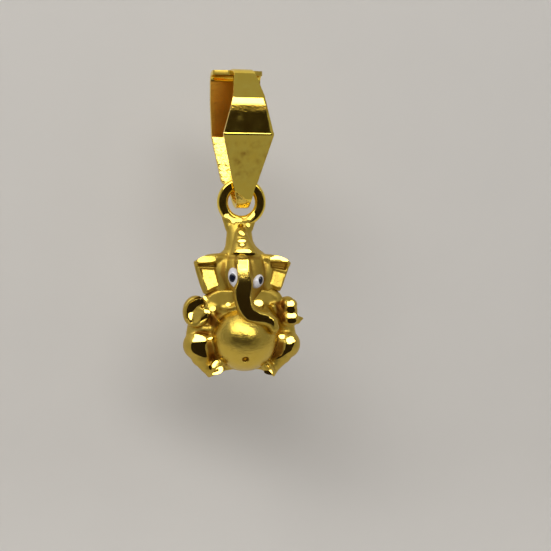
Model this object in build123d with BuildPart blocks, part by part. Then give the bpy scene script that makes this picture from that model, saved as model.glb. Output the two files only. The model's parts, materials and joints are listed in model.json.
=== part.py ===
"""Gold pendant: a cast charm of a seated, elephant-headed figure, hung by a soldered ring
in a bail folded from a strip of sheet gold. Millimetres, +Z up, +Y to the back, +X to the
right of someone who looks at the front. The origin is the inside of the bail's top, where
a chain bears."""
import os
from math import asin, atan2, cos, hypot, radians, sin, sqrt

from build123d import *

os.makedirs("parts", exist_ok=True)

# Bail
strip = 0.36              # thickness of the sheet
bail_depth = 4.4          # outside, from front to back
bail_turn = 5.0           # degrees that the bail stands turned on the ring, front to the right
neck_width = 1.46         # across the front at the top
crease_width = 4.06       # across the front at the crease, its widest place
back_width = 4.0          # across the back at the top
heel_width = 3.35         # across the back where it bends inwards
haunch_width = 2.3        # across the back beside the ring's wire
lap_width = 1.3           # across front and back where they come together
tip_width = 0.5           # across the bottom fold
brow_drop = 2.1           # top to where the front turns upright
brow_run = 2.4            # length of the flat top, from the back bend to the front slope
crease_drop = 4.75        # top to the crease and the bend of the back
haunch_drop = 8.2         # top to the place beside the ring's wire
lap_drop = 9.3            # top to where front and back come together
fold_drop = 10.02         # top to the inside of the bottom fold
top_bend = 0.45           # inner radius of the top's two bends
brow_bend = 1.4           # inner radius where the front turns upright
fold_bend = 0.65          # inner radius of the bottom fold
shoulder_back = 0.95      # how far behind the middle the wide back narrows to the neck

# Ring
wire = 0.87               # diameter of the ring's wire
ring_width = 3.82         # outside diameter of the ring
wire_drop = 8.43          # top to the middle of the wire, where the ring bears in the fold
rock = 0.2                # how far below the wire's middle the ring turns, as it rocks
solder = 0.3              # how deep the ring is sunk in the crown

# Crown
crown_height = 2.45
crown_top_width = 1.75
crown_base_width = 3.1
crown_depth = 2.3
spire_height = 1.65       # the pointed relief on the crown's front
spire_top_width = 0.8
spire_base_width = 1.7
spire_proud = 0.3         # how far its foot stands in front of the crown
bead = 0.42               # diameter of the beads stacked on the spire
bead_drops = [0.55, 1.12, 1.5]
band_height = 0.4         # the band round the foot of the crown
band_width = 1.9
band_proud = 0.2

# Head
head_width = 3.32
head_height = 3.35
head_depth = 3.1
head_forward = 0.5        # middle of the head, in front of the ring's plane
head_side = 0.1           # the head stands a little to the right
head_lap = 0.15           # how far it reaches up into the crown
ear_reach = 3.75          # from the middle to the ear's tip
ear_height = 3.0
ear_thick = 0.9
ear_forward = 0.75        # middle of the ear's thickness, in front of the ring's plane
ear_roll = 0.62           # thickness of the rolled upper edge
ear_sink = 0.14           # depth of that panel

# Eyes
eye_length = 1.45
eye_width = 0.92
eye_spacing = 2.0         # from middle to middle
eye_drop = 4.34           # from the crown's top
eye_lean = 22.0           # degrees that each eye leans
eye_turn = 28.0           # degrees that each eye faces outwards
eye_dome = 1.6            # radius of the enamel's rounded face
eye_seat = 0.3            # depth of its pocket
eye_proud = 0.05
pupil = 0.46
pupil_shift = 0.12        # how far it stands outwards in the eye
pupil_seat = 0.14
pupil_proud = 0.03
enamel_gap = 0.02         # clearance round each enamel piece

# Trunk
trunk_width = 1.1
trunk_side = -0.13        # the trunk hangs a little to the left of the middle
trunk_bend = 1.05         # radius where it turns over the belly
trunk_drop = 7.25         # from the crown's top to the middle of its level part
trunk_reach = 2.1         # from the middle to its curled tip
tip_bend = 0.7
tip_length = 1.15
trunk_fall = 0.35         # how far its level part falls towards the tip
trunk_proud = 0.34        # how far it stands in front of the belly
brow_proud = 0.17         # and in front of the head
trunk_root = 1.2          # how far behind its face it reaches into the figure
trunk_start = 0.25        # how far under the crown it begins

# Body
belly = 5.06              # diameter
belly_drop = 9.0          # from the crown's top to its middle
belly_forward = 0.5
belly_side = 0.18         # the belly stands a little to the right
navel = 0.44
navel_drop = 1.44         # from the belly's middle
torso_width = 5.3
torso_depth = 3.3
torso_height = 6.3
torso_drop = 5.1          # from the crown's top to the torso's top
back_plane = 1.45         # the flat back, behind the ring's plane

# Arms
shoulder = 2.2            # diameter
shoulder_spacing = 4.0    # from middle to middle
shoulder_drop = 6.5
hand_width = 1.9
hand_height = 2.32
hand_depth = 1.9
hand_back = 0.8           # how far behind the ring's plane it ends
hand_spacing = 6.95       # from middle to middle
hand_drop = 6.83
hand_edge = 0.5           # rounding of the hand's rim
palm_rim = 0.34           # width of the rim round the raised hand's face
palm_sink = 0.1
wrist = 1.5               # thickness of the arm at the hand
finger = 0.95             # thickness of the two rolled fingers of the right hand
finger_length = 0.7
finger_pitch = 0.93
finger_set = 0.24         # how far the fingers' middles lie behind the hand's face
thumb = 0.5               # thickness of the right hand's pointed tip
thumb_reach = 4.65        # from the middle to that tip
thumb_drop = 7.4

# Legs
knee = 2.3                # diameter
knee_spacing = 7.0        # from middle to middle
knee_drop = 9.65
hip_spacing = 3.2
ankle = 1.2
ankle_spacing = 5.3
ankle_drop = 11.2
heel = 1.15               # thickness of the foot beside the belly
heel_spacing = 3.9
heel_drop = 11.2
toe = 0.4
toe_spacing = 5.2
toe_drop = 11.95
knee_facet = 0.22         # how deep the flat cut on the knee goes
facet_fall = 20.0         # degrees that the cut looks down

# Where the bail's faces and the ring lie
half_inside = bail_depth / 2 - strip
fold_run = fold_drop - fold_bend - crease_drop
fold_angle = atan2(half_inside, fold_run) - asin(fold_bend / hypot(half_inside, fold_run))
apex_drop = fold_drop - fold_bend + fold_bend / sin(fold_angle)
ring_radius = (ring_width - wire) / 2
ring_z = -wire_drop - ring_radius
crown_z = ring_z - ring_width / 2 + solder
crown_base_z = crown_z - crown_height
head_z = crown_base_z + head_lap
belly_z = crown_z - belly_drop
belly_centre = (belly_side, -belly_forward, belly_z)

# The bail's planes are turned with it
turn = radians(bail_turn)
across = (cos(turn), sin(turn), 0)
side_plane = Plane(origin=(0, 0, 0), x_dir=(-sin(turn), cos(turn), 0), z_dir=across)
front_plane = Plane(origin=(0, 0, 0), x_dir=across, z_dir=(sin(turn), -cos(turn), 0))

# Width of the flat strip at each drop from the top, down the front and down the back
blank_top = -2 * strip
front_widths = [
    (blank_top, neck_width),
    (0, neck_width),
    (crease_drop, crease_width),
    (lap_drop, lap_width),
    (fold_drop + strip, tip_width),
]
back_widths = [
    (blank_top, back_width),
    (brow_drop, back_width),
    (crease_drop, heel_width),
    (haunch_drop, haunch_width),
    (lap_drop, lap_width),
    (fold_drop + strip, tip_width),
]


def outline(plane, points):
    """A closed outline on a plane."""
    with BuildSketch(plane) as drawn:
        with BuildLine():
            Polyline(*points, close=True)
        make_face()
    return drawn.sketch


def blank_outline(plane, widths):
    """The outline of a strip whose width is given at each drop."""
    right = [(width / 2, -drop) for drop, width in widths]
    left = [(-width / 2, -drop) for drop, width in reversed(widths)]
    return outline(plane, right + left)


with BuildPart() as blank:
    extrude(blank_outline(front_plane, back_widths), amount=-bail_depth)
    with BuildSketch(side_plane):
        with Locations((0, -brow_drop)):
            Rectangle(shoulder_back, brow_drop - blank_top, align=(Align.MIN, Align.MIN))
    extrude(amount=crease_width, both=True, mode=Mode.SUBTRACT)
    neck_side = front_plane.offset(-shoulder_back)
    extrude(blank_outline(neck_side, front_widths), amount=shoulder_back + bail_depth)

with BuildPart() as bail:
    with BuildSketch(side_plane) as loop:
        with BuildLine():
            Polyline(
                (half_inside, 0),
                (half_inside, -crease_drop),
                (0, -apex_drop),
                (-half_inside, -crease_drop),
                (-half_inside, -brow_drop),
                (half_inside - brow_run, 0),
                close=True,
            )
        make_face()
        fillet(loop.vertices().sort_by(Axis.Y)[3], brow_bend)
        fillet(loop.vertices().sort_by(Axis.Y)[0], fold_bend)
        fillet(loop.vertices().sort_by(Axis.Y)[-2:], top_bend)
        hole = loop.sketch_local
        offset(amount=strip, kind=Kind.INTERSECTION)
        add(hole, mode=Mode.SUBTRACT)
    extrude(amount=crease_width, both=True)
    add(blank.part, mode=Mode.INTERSECT)
bail.part.label = "bail"


def ball(centre, diameter):
    """A ball of the figure."""
    with Locations(centre):
        Sphere(diameter / 2)


def limb(start, end, start_width, end_width):
    """A round, tapered limb with a ball at each end."""
    along = Vector(end) - Vector(start)
    with BuildPart() as made:
        with BuildSketch(Plane(origin=start, z_dir=along)):
            Circle(start_width / 2)
        with BuildSketch(Plane(origin=end, z_dir=along)):
            Circle(end_width / 2)
        loft()
        ball(start, start_width)
        ball(end, end_width)
    return made.part


def stack(sections, height, width, depth, top):
    """A form lofted down through ellipses. Each section gives the share of the height that
    lies above it, then its shares of the width and of the depth."""
    with BuildPart() as made:
        for fall, wide, deep in sections:
            with BuildSketch(Plane(origin=top).offset(-fall * height)):
                Ellipse(wide * width / 2, deep * depth / 2)
        loft()
    return made.part


def front_at(x, y, z):
    """A plane that faces the viewer, with its x to the right and its y up."""
    return Plane(origin=(x, y, z), x_dir=(1, 0, 0), z_dir=(0, -1, 0))


# Shares of height, width and depth
crown_sections = [(0, 0.56, 0.55), (0.35, 0.67, 0.72), (0.8, 0.84, 0.92), (1, 1, 1)]
head_sections = [(0, 0.86, 0.74), (0.3, 1, 0.95), (0.62, 0.97, 1), (1, 0.55, 0.75)]
torso_sections = [(0, 0.6, 0.7), (0.3, 0.9, 0.92), (0.62, 1, 1), (0.9, 0.8, 0.8), (1, 0.5, 0.5)]

# Shares of the ear's reach and of its height, round the ear from its root
ear_outline = [(0.33, 0), (0.68, 0.01), (0.87, 0.08), (1, 0.24), (0.9, 0.45), (0.74, 1), (0.4, 0.88)]
ear_panel = [(0.46, 0.3), (0.87, 0.36), (0.74, 0.86), (0.5, 0.8)]
ear_fold = [(0.42, 0.13), (0.72, 0.13), (0.9, 0.25)]


def ear(side):
    """One ear: a plate with a flat panel, and its upper edge rolled forwards."""
    plane = front_at(head_side, -ear_forward - ear_thick / 2, head_z)

    def on_ear(shares):
        return [(side * out * ear_reach, -down * ear_height) for out, down in shares]

    with BuildPart() as made:
        extrude(outline(plane, on_ear(ear_outline)), amount=-ear_thick)
        extrude(outline(plane, on_ear(ear_panel)), amount=-ear_sink, mode=Mode.SUBTRACT)
        fold = [plane.from_local_coords((x, z, 0)) for x, z in on_ear(ear_fold)]
        for start, end in zip(fold, fold[1:]):
            add(limb(start, end, ear_roll, ear_roll))
    return made.part


def eye_plane(side):
    """The plane of one eye's rim, on the curved front of the head."""
    out = radians(eye_turn)
    round_share = sqrt(1 - (eye_spacing / head_width) ** 2)
    return Plane(
        origin=(
            head_side + side * eye_spacing / 2,
            -head_forward - head_depth / 2 * round_share,
            crown_z - eye_drop,
        ),
        x_dir=(cos(out), side * sin(out), 0),
        z_dir=(side * sin(out), -cos(out), 0),
    )


def hand(side):
    """One hand: an upright oval with rounded edges, its palm to the front."""
    face = front_at(side * hand_spacing / 2, hand_back - hand_depth, crown_z - hand_drop)
    with BuildPart() as made:
        with BuildSketch(face):
            Ellipse(hand_width / 2, hand_height / 2)
        extrude(amount=-hand_depth)
        fillet(made.edges(), hand_edge)
    return made.part


def eye_white(side):
    """The white of one eye: a leaning oval of enamel with a domed face."""
    plane = eye_plane(side)
    with BuildPart() as made:
        with BuildSketch(plane.offset(-eye_seat)):
            with Locations(Rotation(0, 0, -side * eye_lean)):
                Ellipse(eye_width / 2, eye_length / 2)
        extrude(amount=eye_seat + eye_dome)
        with Locations(plane.offset(eye_proud - eye_dome).location):
            Sphere(eye_dome, mode=Mode.INTERSECT)
        with BuildSketch(plane.offset(-pupil_seat)):
            with Locations((side * pupil_shift, 0)):
                Circle(pupil / 2 + enamel_gap)
        extrude(amount=eye_dome, mode=Mode.SUBTRACT)
    return made.part


def eye_pupil(side):
    """The pupil of one eye, set in the white."""
    plane = eye_plane(side)
    with BuildPart() as made:
        with BuildSketch(plane.offset(enamel_gap - pupil_seat)):
            with Locations((side * pupil_shift, 0)):
                Circle(pupil / 2)
        extrude(amount=pupil_seat + eye_dome)
        with Locations(plane.offset(eye_proud + pupil_proud - eye_dome).location):
            Sphere(eye_dome, mode=Mode.INTERSECT)
    return made.part


def eye_pocket(side):
    """What is cut from the head for one eye."""
    with BuildPart() as made:
        with BuildSketch(eye_plane(side).offset(-eye_seat - enamel_gap)):
            with Locations(Rotation(0, 0, -side * eye_lean)):
                Ellipse(eye_width / 2 + enamel_gap, eye_length / 2 + enamel_gap)
        extrude(amount=eye_seat + eye_dome)
    return made.part


# The trunk is drawn twice: its path as the viewer sees it, and its face from the side
trunk_top = crown_base_z - trunk_start
trunk_level = crown_z - trunk_drop
tip_z = trunk_level - tip_length
belly_rise = trunk_level - belly_z
belly_round = sqrt((belly / 2) ** 2 - belly_rise**2)
brow_y = -head_forward - head_depth / 2 - brow_proud
level_y = -belly_forward - belly_round - trunk_proud
with BuildPart() as trunk:
    with BuildSketch(Plane.XZ):
        with BuildLine():
            FilletPolyline(
                (trunk_side, trunk_top),
                (trunk_side, trunk_level),
                (trunk_reach, trunk_level - trunk_fall),
                (trunk_reach, tip_z),
                radius=[trunk_bend, tip_bend],
            )
        trace(line_width=trunk_width)
    extrude(amount=belly)
    side_face = [
        (brow_y, trunk_top),
        (level_y, trunk_level),
        (level_y + trunk_proud, tip_z - trunk_width),
        (level_y + trunk_root + trunk_proud, tip_z - trunk_width),
        (brow_y + trunk_root, trunk_top),
    ]
    extrude(outline(Plane.YZ, side_face), amount=belly, both=True, mode=Mode.INTERSECT)
    ball((trunk_reach, level_y + trunk_proud + trunk_width / 2, tip_z), trunk_width)

with BuildPart() as charm:
    # Ring and crown
    with Locations(Location((0, 0, ring_z), (90, 0, 0))):
        Torus(ring_radius, wire / 2)
    add(stack(crown_sections, crown_height, crown_base_width, crown_depth, (0, 0, crown_z)))
    spire_z = crown_base_z + band_height
    spire_y = -crown_depth / 2 - spire_proud + spire_base_width / 2
    spire_top = (0, spire_y, spire_z + spire_height)
    add(limb(spire_top, (0, spire_y, spire_z), spire_top_width, spire_base_width))
    for drop in bead_drops:
        share = drop / (spire_height + band_height)
        half_width = (spire_top_width + share * (spire_base_width - spire_top_width)) / 2
        ball((0, spire_y - half_width, spire_z + spire_height - drop + band_height), bead)
    band_y = -crown_depth / 2 - band_proud + band_width / 2
    with Locations((0, band_y, crown_base_z + band_height / 2)):
        Cylinder(band_width / 2, band_height)

    # Head, ears and trunk
    head_top = (head_side, -head_forward, head_z)
    add(stack(head_sections, head_height, head_width, head_depth, head_top))
    for side in (-1, 1):
        add(ear(side))
    add(trunk.part)

    # Torso and belly
    torso_top = (0, 0, crown_z - torso_drop)
    add(stack(torso_sections, torso_height, torso_width, torso_depth, torso_top))
    ball(belly_centre, belly)

    # Arms and hands
    for side in (-1, 1):
        shoulder_at = (side * shoulder_spacing / 2, 0, crown_z - shoulder_drop)
        hand_at = (side * hand_spacing / 2, 0, crown_z - hand_drop)
        add(limb(shoulder_at, hand_at, shoulder, wrist))
        add(hand(side))
    palm = front_at(-hand_spacing / 2, hand_back - hand_depth, crown_z - hand_drop)
    with BuildSketch(palm):
        Ellipse(hand_width / 2 - palm_rim, hand_height / 2 - palm_rim)
    extrude(amount=-palm_sink, mode=Mode.SUBTRACT)
    finger_y = hand_back - hand_depth + finger_set
    for row in (-1, 1):
        finger_z = crown_z - hand_drop + row * finger_pitch / 2
        root = (hand_spacing / 2 - finger_length / 2, finger_y, finger_z)
        end = (hand_spacing / 2 + finger_length / 2, finger_y, finger_z)
        add(limb(root, end, finger, finger))
    thumb_root = (hand_spacing / 2, 0, crown_z - thumb_drop)
    add(limb(thumb_root, (thumb_reach, 0, crown_z - thumb_drop), finger, thumb))

    # Legs and feet
    for side in (-1, 1):
        hip_at = (side * hip_spacing / 2, 0, crown_z - knee_drop)
        knee_at = (side * knee_spacing / 2, 0, crown_z - knee_drop)
        ankle_at = (side * ankle_spacing / 2, 0, crown_z - ankle_drop)
        heel_at = (side * heel_spacing / 2, 0, crown_z - heel_drop)
        toe_at = (side * toe_spacing / 2, 0, crown_z - toe_drop)
        add(limb(hip_at, knee_at, knee, knee))
        add(limb(knee_at, ankle_at, knee, ankle))
        add(limb(ankle_at, toe_at, ankle, toe))
        add(limb(heel_at, toe_at, heel, toe))

    # Cuts: the flat back, the facets of the knees, the navel and the eyes' pockets
    split(bisect_by=Plane.XZ.offset(-back_plane), keep=Keep.TOP)
    fall = radians(facet_fall)
    for side in (-1, 1):
        facet = Plane(
            origin=(side * knee_spacing / 2, 0, crown_z - knee_drop),
            x_dir=(1, 0, 0),
            z_dir=(0, -cos(fall), -sin(fall)),
        )
        with BuildSketch(facet.offset(knee / 2 - knee_facet)):
            Rectangle(knee, knee)
        extrude(amount=knee, mode=Mode.SUBTRACT)
    navel_run = sqrt((belly / 2) ** 2 - navel_drop**2)
    with Locations((belly_side, -belly_forward - navel_run, belly_z - navel_drop)):
        Sphere(navel / 2, mode=Mode.SUBTRACT)
    for side in (-1, 1):
        add(eye_pocket(side), mode=Mode.SUBTRACT)

charm.part.label = "charm"
pieces = [bail.part, charm.part]
for side, name in ((-1, "left"), (1, "right")):
    white = eye_white(side)
    white.label = "eye_white_" + name
    dot = eye_pupil(side)
    dot.label = "pupil_" + name
    pieces += [white, dot]

for piece in pieces:
    export_step(piece, "parts/" + piece.label + ".step")
    print(piece.label, round(piece.volume, 4), piece.is_valid, piece.bounding_box())
print("the ring turns at", -wire_drop - rock, "and its middle is at", ring_z)
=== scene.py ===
# %% [markdown]
# # Dressing a small gold pendant
#
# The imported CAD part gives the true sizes, the two bodies and the swing between them. This
# script builds what the eye sees around that frame: a bail folded from sheet gold, a ring
# soldered on the crown, and a cast figure with enamelled eyes. Every piece rides on the CAD
# body that it belongs to, so it moves when the joint does.

# %% Load the frame
import json
from math import atan2, cos, pi, radians, sin, tan

import bmesh
import bpy
import numpy as np
from mathutils import Matrix, Quaternion, Vector

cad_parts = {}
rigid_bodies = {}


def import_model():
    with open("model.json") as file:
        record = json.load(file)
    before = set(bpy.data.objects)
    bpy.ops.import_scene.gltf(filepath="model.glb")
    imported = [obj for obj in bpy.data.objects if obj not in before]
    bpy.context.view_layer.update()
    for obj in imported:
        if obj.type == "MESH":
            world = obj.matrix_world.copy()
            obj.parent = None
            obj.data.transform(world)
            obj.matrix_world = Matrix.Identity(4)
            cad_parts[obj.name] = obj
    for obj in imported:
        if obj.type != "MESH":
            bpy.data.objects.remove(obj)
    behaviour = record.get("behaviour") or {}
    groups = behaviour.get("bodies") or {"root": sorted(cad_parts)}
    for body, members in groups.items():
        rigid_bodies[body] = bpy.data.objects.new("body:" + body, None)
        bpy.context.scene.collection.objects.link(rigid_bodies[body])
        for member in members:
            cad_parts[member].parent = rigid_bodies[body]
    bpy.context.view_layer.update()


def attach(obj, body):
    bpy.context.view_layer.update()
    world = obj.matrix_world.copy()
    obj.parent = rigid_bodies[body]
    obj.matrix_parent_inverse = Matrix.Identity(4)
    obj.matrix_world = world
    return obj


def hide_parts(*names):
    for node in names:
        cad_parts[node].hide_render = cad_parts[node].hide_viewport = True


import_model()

MM = 0.001

# %% [markdown]
# ## Shader sums as plain arithmetic
#
# A finish such as satin gold is a small sum: so much grain, plus so much wave, where the
# surface isn't polished. Node trees hide that sum in a drawing. The class below wraps one
# output socket, and Python's own operators add the Math nodes, so the sum reads as a sum.
# Any other node comes from its one method, `node`.


# %% A socket that does arithmetic
class Signal:
    """An output socket that can stand in a Python expression."""

    def __init__(self, tree, socket=None):
        self.tree = tree
        self.socket = socket

    def node(self, kind, settings=None, inputs=None, out=0):
        """Adds a node: its settings are set first, then its sockets get values or links."""
        made = self.tree.nodes.new(kind)
        for name, value in (settings or {}).items():
            setattr(made, name, value)
        for name, value in (inputs or {}).items():
            if isinstance(value, Signal):
                self.tree.links.new(value.socket, made.inputs[name])
            else:
                made.inputs[name].default_value = value
        return Signal(self.tree, made.outputs[out] if len(made.outputs) else None)

    def maths(self, operation, first, second):
        return self.node("ShaderNodeMath", {"operation": operation}, {0: first, 1: second})

    def __add__(self, other):
        return self.maths("ADD", self, other)

    __radd__ = __add__

    def __sub__(self, other):
        return self.maths("SUBTRACT", self, other)

    def __rsub__(self, other):
        return self.maths("SUBTRACT", other, self)

    def __mul__(self, other):
        return self.maths("MULTIPLY", self, other)

    def __pow__(self, other):
        return self.maths("POWER", self, other)

    def __lt__(self, other):
        return self.maths("LESS_THAN", self, other)


def paint(name):
    """A new material, and a Signal on its empty tree."""
    material = bpy.data.materials.new(name)
    material.use_nodes = True
    material.node_tree.nodes.clear()
    return material, Signal(material.node_tree)


def surface(tree, sockets):
    """The one shader of a material, with these sockets, joined to its output."""
    shader = tree.node("ShaderNodeBsdfPrincipled", None, sockets)
    tree.node("ShaderNodeOutputMaterial", None, {"Surface": shader})


def noise_at(tree, place, size, detail=2.0, roughness=0.5):
    """Noise from 0 to 1 whose lumps are about `size` millimetres across."""
    settings = {"noise_dimensions": "3D"}
    sockets = {"Vector": place, "Scale": 1 / (size * MM), "Detail": detail, "Roughness": roughness}
    return tree.node("ShaderNodeTexNoise", settings, sockets)


def tinted(tree, amount, low, high):
    """A colour between low and high."""
    return tree.node("ShaderNodeMix", {"data_type": "RGBA"}, {0: amount, 6: low, 7: high}, out=2)


def bumped(tree, height, distance):
    """A normal that is tilted by a height, whose full step is `distance`."""
    sockets = {"Height": height, "Strength": 1.0, "Distance": distance}
    return tree.node("ShaderNodeBump", None, sockets)


print("signals ready")

# %% [markdown]
# ## Cast gold: satin skin, polished cuts
#
# The figure is cast, then left with a fine satin skin. Afterwards a cutter and a buff polish
# chosen places: the trunk's face, the palm, the knees. All of it is the same metal, so one
# material does it all, and three marks that are painted on the mesh say what goes where:
# `polish` for a cut, `beaten` for a facet that was only planished, and a third mark for painted
# shade, which darkens the colour to brown in hollows, creases and other places where shade falls.
# The skin's grain and its slow waves go to a Bump node. A second material with a mask would do as
# well, but it would be harder to read.

# %% Colours of the golds
gold_deep = (0.82, 0.56, 0.075, 1)
gold_light = (0.93, 0.70, 0.16, 1)
sheet_deep = (0.95, 0.65, 0.075, 1)
sheet_light = (1.0, 0.79, 0.14, 1)
satin_deep = (0.55, 0.37, 0.045, 1)
satin_light = (0.68, 0.50, 0.10, 1)
# Brown for the wear on the sheet, and for painted shade on the inside of the bail.
brown_wear_and_shade = (0.42, 0.19, 0.02, 1)
# Painted shade: the brown that the colour is darkened to where shade falls.
painted_shade_gold = (0.27, 0.115, 0.012, 1)
grain_height = 0.02 * MM
dent_height = 0.1 * MM
print("gold from", satin_deep[:3], "to", sheet_light[:3])

# %% Cast gold
def cast_gold():
    """Satin where the mesh carries no mark, and a mirror where `polish` is 1."""
    material, tree = paint("cast_gold")
    place = tree.node("ShaderNodeTexCoord", out=3)
    polish = tree.node("ShaderNodeAttribute", {"attribute_name": "polish"}, out=2)
    beaten = tree.node("ShaderNodeAttribute", {"attribute_name": "beaten"}, out=2)
    painted_shade = tree.node("ShaderNodeAttribute", {"attribute_name": "painted_shade"}, out=2)
    skin = 1 - polish
    grain = noise_at(tree, place, 0.05, 2.0)
    waves = noise_at(tree, place, 0.55, 2.0)
    cloud = noise_at(tree, place, 1.6, 3.0)
    dents = noise_at(tree, place, 0.45, 1.0)
    brushed = polish * skin * 4
    strokes = noise_at(tree, place, 0.13, 3.0, 0.7)
    satin_height = skin * (grain * 0.25 + waves * 0.6)
    cut_height = polish * waves * 0.25
    beaten_height = beaten * (dents - 0.5) * 2.2
    brushed_height = brushed * ((strokes - 0.5) * 0.8 + (waves - 0.5) * 1.5)
    height = satin_height + cut_height + beaten_height + brushed_height
    bump = bumped(tree, height, grain_height)
    mottle = cloud * 0.7 + waves * 0.3
    satin = tinted(tree, mottle, satin_deep, satin_light)
    bright = tinted(tree, mottle, gold_deep, gold_light)
    clean = tinted(tree, polish * polish, satin, bright)
    # The third mark paints shade: it darkens the colour to brown where the skin is unpolished.
    surface(tree, {
        "Base Color": tinted(tree, painted_shade * skin, clean, painted_shade_gold),
        "Metallic": 1.0,
        "Roughness": skin * (0.32 + cloud * 0.14) + beaten * 0.1 + painted_shade * 0.1 + 0.06,
        "Normal": bump,
    })
    return material


figure_gold = cast_gold()
print("gold of the figure:", figure_gold.name)

# %% [markdown]
# ## Sheet gold
#
# The strip and the cut facets are mirrors. Slow waves, fine scratches and the smudges of fingers
# are what tells them from glass. On the front of the bail there are two worn places more: a
# dull, rubbed line under the brow, and brown smears on the long facet below the crease. Dents
# would make black pits in a mirror, so the smears are in the colour alone.

# %% Sheet gold
def sheet_gold(name, deep, light, smudged, wavy):
    """Polished sheet between two colours. `smudged` and `wavy` say how far it is from a perfect
    mirror. The rubbed line and the smears lie at the bail's heights, in front of its middle."""
    material, tree = paint(name)
    place = tree.node("ShaderNodeTexCoord", out=3)
    smudge = noise_at(tree, place, 0.7, 3.0)
    waves = noise_at(tree, place, 2.2, 1.0)
    scratches = noise_at(tree, place, 0.12, 2.0)
    up = tree.node("ShaderNodeSeparateXYZ", None, {"Vector": place}, out=2)
    in_front = tree.node("ShaderNodeSeparateXYZ", None, {"Vector": place}, out=1) < 0

    def between(top, full, fading, bottom):
        """1 from the height `full` down to `fading`, in mm, and 0 at `top` and `bottom`."""
        upper = {0: up, 1: top * MM, 2: full * MM, 3: 0.0, 4: 1.0}
        lower = {0: up, 1: bottom * MM, 2: fading * MM, 3: 0.0, 4: 1.0}
        below = tree.node("ShaderNodeMapRange", None, upper)
        above = tree.node("ShaderNodeMapRange", None, lower)
        return below * above

    rubbed = in_front * between(-2.45, -2.6, -2.9, -3.3) * scratches
    smeared = in_front * between(-4.9, -5.6, -7.6, -8.6) * noise_at(tree, place, 0.5, 1.0) ** 4
    bump = bumped(tree, waves * wavy + scratches * 0.08 + rubbed * 0.8, grain_height)
    colour = tinted(tree, smeared * 1.6 + rubbed, tinted(tree, smudge, deep, light), brown_wear_and_shade)
    surface(tree, {
        "Base Color": colour,
        "Metallic": 1.0,
        "Roughness": (smudge ** 3) * smudged + rubbed * 0.15 + 0.06,
        "Normal": bump,
    })
    return material


strip_gold = sheet_gold("sheet_gold", sheet_deep, sheet_light, 0.25, 1.5)
facet_gold = sheet_gold("facet_gold", gold_deep, gold_light, 0.05, 0.8)
print("golds of the sheet and the facets:", strip_gold.name, facet_gold.name)

# %% [markdown]
# ## The inside of the bail
#
# Nobody polishes the inside of a bail. It keeps the dents of the hammer. Above the crease it is
# painted brown, as shade for the dim inside between the strips, and below it, where the strip was
# sawn and scored for the fold, it is brighter, in the gold's own colours, and has rows of strokes.

# %% Hammered gold, with painted shade
inside_crease = -4.8
stroke_width = 0.3
wave_turn = 0.314


def hammered_gold_shaded():
    """Dented gold, with strokes below the crease and brown painted shade above it."""
    material, tree = paint("hammered_gold_shaded")
    place = tree.node("ShaderNodeTexCoord", out=3)
    dents = noise_at(tree, place, 0.28, 2.0)
    cloud = noise_at(tree, place, 1.2, 2.0)
    low = tree.node("ShaderNodeSeparateXYZ", None, {"Vector": place}, out=2) < inside_crease * MM
    bands = {"wave_type": "BANDS", "bands_direction": "X", "wave_profile": "SAW"}
    scale = wave_turn / (stroke_width * MM)
    sockets = {"Vector": place, "Scale": scale, "Distortion": 3.0, "Detail": 2.0}
    strokes = tree.node("ShaderNodeTexWave", bands, sockets, out=1)
    bump = bumped(tree, dents * (low * 0.35 + 0.15) + low * strokes * 1.0, dent_height)
    # Painted shade: brown above the crease, the gold's own colours below it.
    surface(tree, {
        "Base Color": tinted(tree, low, brown_wear_and_shade, tinted(tree, cloud, gold_deep, gold_light)),
        "Metallic": 1.0,
        "Roughness": cloud * 0.12 + 0.3 - low * 0.14,
        "Normal": bump,
    })
    return material


inner_gold_shaded = hammered_gold_shaded()
print("gold of the inside:", inner_gold_shaded.name)

# %% [markdown]
# ## Enamel
#
# The eyes are drops of enamel, melted into pockets. Enamel is glass: smooth, slightly wavy
# and a little uneven in colour, with a clear skin over it.

# %% White and black enamel
def enamel(name, low, high):
    """Glossy enamel, clouded between two colours."""
    material, tree = paint(name)
    place = tree.node("ShaderNodeTexCoord", out=3)
    cloud = noise_at(tree, place, 0.35, 2.0)
    bump = bumped(tree, cloud, 0.01 * MM)
    surface(tree, {
        "Base Color": tinted(tree, cloud, low, high),
        "Roughness": cloud * 0.15 + 0.08,
        "Coat Weight": cloud * 0.2 + 0.1,
        "Normal": bump,
    })
    return material


white_enamel = enamel("white_enamel", (0.60, 0.60, 0.66, 1), (0.82, 0.82, 0.86, 1))
black_enamel = enamel("black_enamel", (0.003, 0.004, 0.010, 1), (0.010, 0.012, 0.028, 1))
print("enamels:", white_enamel.name, black_enamel.name)

# %% [markdown]
# ## Helpers for finished pieces
#
# Shapes are modelled in millimetres, because a pendant's numbers read better that way, and
# scaled to metres when the mesh is finished. The object itself stays at the origin, unturned
# and unscaled, as the CAD nodes do.


# %% Finish a mesh as a piece
def piece(name, clay, body, slot, replaced, *materials):
    """Makes an object of a bmesh in millimetres, and sets it in the frame."""
    bmesh.ops.scale(clay, vec=(MM, MM, MM), verts=clay.verts)
    mesh = bpy.data.meshes.new(name)
    clay.to_mesh(mesh)
    clay.free()
    return set_in_frame(name, mesh, body, slot, replaced, *materials)


def set_in_frame(name, mesh, body, slot, replaced, *materials):
    """Makes an object of a mesh in metres, on its body, for its CAD nodes. `slot` is not used."""
    mesh.shade_smooth()
    for material in materials:
        mesh.materials.append(material)
    made = bpy.data.objects.new(name, mesh)
    bpy.context.scene.collection.objects.link(made)
    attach(made, body)
    if replaced:
        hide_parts(*replaced)
    print(name, len(mesh.polygons), "faces")
    return made


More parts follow.
